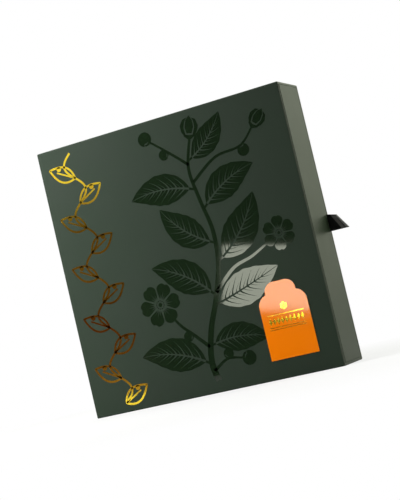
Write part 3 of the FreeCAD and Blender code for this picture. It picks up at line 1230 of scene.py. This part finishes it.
@dataclass
class Slipcase:
    """The board sleeve in its paper, with its laps on the back and closed end. Millimetres."""

    lap: float = 14.0
    lap_gauge: float = 0.11
    lap_corner: float = 0.8
    back_margin: float = 1.5
    back_drop: float = 1.2
    end_margin: float = 1.6

    def build(self) -> None:
        """Dress the slipcase and lay its paper laps."""
        paper = PANEL_PAPER.material()
        dress("sleeve", paper)
        low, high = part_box("sleeve")
        wide, deep, tall = ((last - first) / MM for first, last in zip(low, high))
        laps = (("back_lap", wide - 2 * self.back_margin, self.lap, math.pi,
                 (0.0, high.y, high.z - (self.lap / 2 + self.back_drop) * MM)),
                ("end_lap", deep - 2 * self.end_margin, tall - 2 * self.end_margin, -math.pi / 2,
                 (low.x, 0.0, (low.z + high.z) / 2)))
        for name, across, up, turn, place in laps:
            mesh = plates(name, [rounded_strip(across, up, self.lap_corner)], 0.0,
                          self.lap_gauge * MM)
            stand(mesh, place, turn)
            mesh.materials.append(paper)
            finish_piece(add_object(name, mesh))


@dataclass
class RibbonPull:
    """Satin ribbon doubled through the tray's slot, with a slanted rounded fold. Millimetres."""

    gauge: float = 0.42
    slit: float = 0.28
    roll: float = 2.8
    root: float = 8.9
    sunk: float = 9.0
    edge_gap: float = 0.1
    reach_lower: float = 19.6
    reach_upper: float = 10.1
    droop: float = 14.0
    curl: float = 0.10
    curl_reach: float = 8.0
    rows: int = 22

    def half_loop(self, reach: float) -> list[Point]:
        """Path of the middle of one layer from the slot's foot to the fold's outermost point.

        Args:
            reach: How far the fold stands out of the tray.

        Returns:
            Points as distance out of the tray and distance from the ribbon's middle plane.
        """
        start = (self.slit + self.gauge) / 2
        radius = self.roll - self.gauge / 2
        centre = reach - self.roll
        away = math.hypot(centre, start)
        touch = math.pi - math.acos(radius / away) - math.atan2(start, centre)
        path = [(-self.root * (1 - step / 6), start) for step in range(6)]
        foot = (centre + radius * math.cos(touch), radius * math.sin(touch))
        for step in range(17):
            share = step / 16
            path.append((foot[0] * share, start + (foot[1] - start) * share))
        for step in range(1, 25):
            turn = touch * (1 - step / 24)
            path.append((centre + radius * math.cos(turn), radius * math.sin(turn)))
        return path

    def rails(self) -> list[list[Point]]:
        """The whole loop at the ribbon's lower edge and at its upper edge."""
        halves = (self.half_loop(reach) for reach in (self.reach_lower, self.reach_upper))
        return [path + [(x, -y) for x, y in reversed(path[:-1])] for path in halves]

    def cloth(self) -> bpy.types.Mesh:
        """Sew the ribbon between its two edges, with a UV map in millimetres along and across it.

        Returns:
            The ribbon's sheet, without its thickness.
        """
        low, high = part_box("ribbon_pull")
        origin = Vector((low.x + self.sunk * MM, (low.y + high.y) / 2, (low.z + high.z) / 2))
        half = (high.z - low.z) / 2 / MM - self.edge_gap
        lower, upper = self.rails()
        slope = math.radians(self.droop)
        build = bmesh.new()
        grid = []
        for row in range(self.rows + 1):
            share = row / self.rows
            line = []
            for (x0, y0), (x1, y1) in zip(lower, upper):
                out = max(x1, 0.0)
                lean = x1 if x1 < 0 else out * math.cos(slope)
                x = x0 + (lean - x0) * share
                z = -half + (2 * half - out * math.sin(slope)) * share
                curl = self.curl * math.sin(math.pi * share) * min(max(x, 0.0) / self.curl_reach,
                                                                   1.0)
                y = (y0 + (y1 - y0) * share) * (1.0 - curl * 0.5)
                line.append(build.verts.new(origin + Vector((x, y, z)) * MM))
            grid.append(line)
        layer = build.loops.layers.uv.new("ribbon")
        lengths = [0.0]
        for first, second in zip(lower, lower[1:]):
            lengths.append(lengths[-1] + math.dist(first, second))
        for row in range(self.rows):
            for column in range(len(lower) - 1):
                corners = [(row, column), (row, column + 1), (row + 1, column + 1),
                           (row + 1, column)]
                face = build.faces.new([grid[r][c] for r, c in corners])
                face.smooth = True
                for loop, (r, c) in zip(face.loops, corners):
                    loop[layer].uv = (lengths[c], 2 * half * r / self.rows)
        mesh = bpy.data.meshes.new("ribbon_cloth")
        build.to_mesh(mesh)
        build.free()
        return mesh

    def build(self) -> None:
        """Make the ribbon in place of its plain solid."""
        mesh = self.cloth()
        mesh.materials.append(SATIN_RIBBON.material())
        ribbon = add_object("ribbon_cloth", mesh)
        wall = ribbon.modifiers.new("wall", "SOLIDIFY")
        wall.thickness = self.gauge * MM
        wall.offset = 0.0
        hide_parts("ribbon_pull")
        finish_piece(ribbon)


@dataclass
class Plaque:
    """The shaped plaque with thin foil rules, lozenges and a small blossom. Millimetres."""

    base: float = 0.01
    top: float = 0.05
    row_width: float = 38.0
    rules: tuple[float, ...] = (29.0, 31.0, 43.0)
    rule_gauge: float = 0.55
    lozenges: int = 9
    lozenge_height: float = 37.0
    lozenge_half: Point = (1.5, 3.6)
    petals: int = 6
    blossom_height: float = 50.5

    def ornament(self) -> list[Outline]:
        """Lay out the foil print from the middle of the plaque's foot.

        Returns:
            The outlines, in millimetres.
        """
        rule = rounded_strip(self.row_width, self.rule_gauge, 0.2)
        rings = [[(x, y + height) for x, y in rule] for height in self.rules]
        left = -self.row_width / 2
        wide, tall = self.lozenge_half
        middle = self.lozenge_height
        for index in range(self.lozenges):
            x = left + self.row_width * (index + 0.5) / self.lozenges
            rings.append([(x + wide, middle), (x, middle + tall), (x - wide, middle),
                          (x, middle - tall)])
        rings += [disc(left + self.row_width * index / self.lozenges, middle, 0.55, 10)
                  for index in range(1, self.lozenges)]
        for index in range(self.petals):
            turn = math.tau * index / self.petals + math.pi / 2
            rings.append([(x * math.cos(turn) - y * math.sin(turn),
                           self.blossom_height + x * math.sin(turn) + y * math.cos(turn))
                          for x, y in disc(2.5, 0.0, 1.15, 14)])
        rings.append(disc(0.0, self.blossom_height, 0.75, 12))
        return rings

    def build(self, foil: bpy.types.Material) -> None:
        """Dress the plaque and print its ornament.

        Args:
            foil: The foil's material.
        """
        dress("label", PLAQUE_STOCK.material())
        mesh = plates("plaque_ornament", self.ornament(), self.base * MM, self.top * MM)
        low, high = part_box("label")
        stand(mesh, ((low.x + high.x) / 2, low.y, low.z))
        mesh.materials.append(foil)
        finish_piece(add_object("plaque_ornament", mesh))


# Studio --------------------------------------------------------------------------------------


@dataclass(frozen=True)
class SoftBox:
    """A rectangular lamp that lights the box and isn't seen itself."""

    name: str
    place: Place
    aim: Place
    wide: float
    high: float
    power: float
    tint: Place = (1.0, 1.0, 1.0)
    roll: float = 0.0

    def build(self) -> None:
        """Hang the lamp."""
        data = bpy.data.lights.new(self.name, "AREA")
        data.shape = "RECTANGLE"
        data.size, data.size_y = self.wide, self.high
        data.energy = self.power
        data.color = self.tint
        lamp = add_object(self.name, data)
        away = Vector(self.place) - Vector(self.aim)
        turn = away.to_track_quat("Z", "Y").to_matrix().to_4x4()
        lamp.matrix_world = (Matrix.Translation(self.place) @ turn
                             @ Matrix.Rotation(math.radians(self.roll), 4, "Z"))
        lamp.visible_camera = False


@dataclass
class Studio:
    """Pale floor, soft lamps, a surround that is white behind the box, and the camera.

    The bands are what the gloss prints mirror in front of the box: a colour at each height, in
    degrees above the level, between foot and foot + span.
    """

    floor_front: float = -0.45
    floor_back: float = 3.2
    floor_side: float = 3.0
    lamps: tuple[SoftBox, ...] = (
        SoftBox("key", (-0.267, -0.209, 0.403), (-0.046, -0.018, 0.205), 0.10, 0.94, 4.4),
        SoftBox("top", (0.0, -0.9, 1.5), (0.0, 0.0, 0.1), 1.2, 1.0, 3.2),
        SoftBox("side", (0.62, 0.20, 0.60), (0.136, 0.0, 0.20), 0.35, 0.30, 2.4),
        SoftBox("card", (-0.610, -2.029, 0.138), (0.02, -0.029, 0.10), 0.33, 0.162, 1.2,
                tint=(0.96, 1.0, 0.83), roll=-13.5),
    )
    bands_foot: float = -5.0
    bands_span: float = 20.0
    bands: tuple[tuple[float, Place], ...] = (
        (-5.0, (0.80, 0.70, 0.60)), (-2.3, (0.80, 0.70, 0.60)), (-1.8, (0.28, 0.18, 0.18)),
        (-1.0, (0.12, 0.060, 0.08)), (0.4, (0.07, 0.030, 0.04)), (0.9, (0.07, 0.018, 0.04)),
        (2.0, (0.06, 0.032, 0.04)), (3.0, (0.12, 0.075, 0.09)), (5.2, (0.08, 0.052, 0.06)),
        (5.9, (0.16, 0.13, 0.14)), (6.4, (0.42, 0.36, 0.35)), (7.0, (0.85, 0.85, 0.80)),
        (9.0, (1.0, 1.0, 0.95)), (10.0, (1.5, 1.5, 1.5)))
    back_tint: Place = (1.27, 1.33, 1.07)
    lens: float = 98.5
    camera_place: Place = (0.54247, -1.27181, 0.06746)
    camera_ahead: Place = (-0.38824, 0.91993, 0.05476)
    camera_up: Place = (0.23228, 0.04018, 0.97182)

    def build_floor(self) -> None:
        """Lay the floor, which fades to white away from the box for the camera alone."""
        mesh = bpy.data.meshes.new("floor")
        side, front, back = self.floor_side, self.floor_front, self.floor_back
        mesh.from_pydata([(-side, front, 0.0), (side, front, 0.0), (side, back, 0.0),
                          (-side, back, 0.0)], [], [(0, 1, 2, 3)])
        material, graph, shader = new_material("floor")
        nodes = material.node_tree.nodes
        place = graph.here()
        graph.feed(shader["Base Color"], graph.mixed(
            graph.noise(place, 40.0, 3.0), (0.68, 0.68, 0.68, 1.0), (0.72, 0.72, 0.72, 1.0)))
        shader["Roughness"].default_value = 0.85
        shader["Specular IOR Level"].default_value = 0.1
        ray = graph.add("ShaderNodeLightPath").outputs
        plain = graph.out("ShaderNodeEmission", {"Color": WHITE, "Strength": 1.0})
        away = graph.add("ShaderNodeVectorMath", {0: place}, operation="LENGTH").outputs["Value"]
        share = graph.maths("MULTIPLY", ray["Is Camera Ray"],
                            graph.between(away, 0.15, 0.42, 0.72, 1.0))
        dark = graph.out("ShaderNodeEmission", {"Strength": 0.0})
        dim = graph.maths("MULTIPLY", ray["Is Glossy Ray"], 0.35)
        lit = graph.out("ShaderNodeMixShader", {0: dim, 1: nodes["Principled BSDF"].outputs[0],
                                                2: dark})
        graph.feed(nodes["Material Output"].inputs["Surface"],
                   graph.out("ShaderNodeMixShader", {0: share, 1: lit, 2: plain}))
        mesh.materials.append(material)
        add_object("floor", mesh)

    def build_world(self) -> None:
        """Make the surround: white to the camera everywhere, and dark in front for the lighting."""
        world = bpy.data.worlds.new("surround")
        world.use_nodes = True
        bpy.context.scene.world = world
        graph = Graph(world.node_tree)
        part = graph.axes(graph.add("ShaderNodeTexCoord").outputs["Generated"])

        def arc(angle: Socket, low: float, high: float, smooth: bool = True) -> Socket:
            """Rise from one angle, in degrees, to another."""
            return graph.between(angle, math.radians(low), math.radians(high), smooth=smooth)

        azimuth = graph.maths("ARCTAN2", graph.maths("MULTIPLY", part["X"], -1.0),
                              graph.maths("MULTIPLY", part["Y"], -1.0))
        column = graph.maths("MULTIPLY", arc(azimuth, 25.2, 26.4), arc(azimuth, 40.0, 34.0))
        top = self.bands_foot + self.bands_span
        ramp = graph.add("ShaderNodeValToRGB", {
            0: arc(graph.maths("ARCSINE", part["Z"]), self.bands_foot, top, smooth=False)})
        line = ramp.color_ramp
        while len(line.elements) < len(self.bands):
            line.elements.new(0.5)
        for element, (angle, colour) in zip(line.elements, self.bands):
            element.position = (angle - self.bands_foot) / self.bands_span
            element.color = (*colour, 1.0)
        front = graph.mixed(column, (0.014, 0.014, 0.014, 1.0), ramp.outputs[0])
        glow = graph.between(part["Z"], -0.05, 0.45, 0.36, 1.15, smooth=False)
        back = graph.out("ShaderNodeCombineColor", {
            index: graph.maths("MULTIPLY", glow, tint) for index, tint in enumerate(self.back_tint)})
        surround = graph.mixed(graph.between(part["Y"], 0.02, 0.40), front, back)
        seen = graph.add("ShaderNodeLightPath").outputs["Is Camera Ray"]
        background = world.node_tree.nodes["Background"].inputs
        graph.feed(background["Color"], graph.mixed(seen, surround, WHITE))
        background["Strength"].default_value = 1.0

    def build_camera(self) -> None:
        """Set the camera: 23 degrees to the right of the front, near the floor, rolled by 13."""
        data = bpy.data.cameras.new("view")
        data.lens = self.lens
        data.sensor_width = 36.0
        data.clip_start = 0.05
        data.clip_end = 50.0
        camera = add_object("view", data)
        ahead = Vector(self.camera_ahead).normalized()
        right = ahead.cross(Vector(self.camera_up)).normalized()
        turn = Matrix((right, right.cross(ahead), -ahead)).transposed().to_4x4()
        camera.matrix_world = Matrix.Translation(self.camera_place) @ turn
        bpy.context.scene.camera = camera

    def build(self) -> None:
        """Build the whole studio."""
        self.build_camera()
        self.build_floor()
        self.build_world()
        for lamp in self.lamps:
            lamp.build()
        bpy.context.scene.view_settings.view_transform = "Standard"
        LOG.info("studio: %d lamps", len(self.lamps))


def main() -> None:
    """Build the studio and dress each piece of the box in turn."""
    logging.basicConfig(level=logging.INFO, format="%(name)s: %(message)s")
    Studio().build()
    foil = GOLD_FOIL.material()
    Slipcase().build()
    dress("tray", TRAY_PAPER_PAINTED_LIGHT.material())
    RibbonPull().build()
    Plaque().build(foil)
    FoilVine().build(foil)
    VarnishSprig().build()


if __name__ == "__main__":
    main()
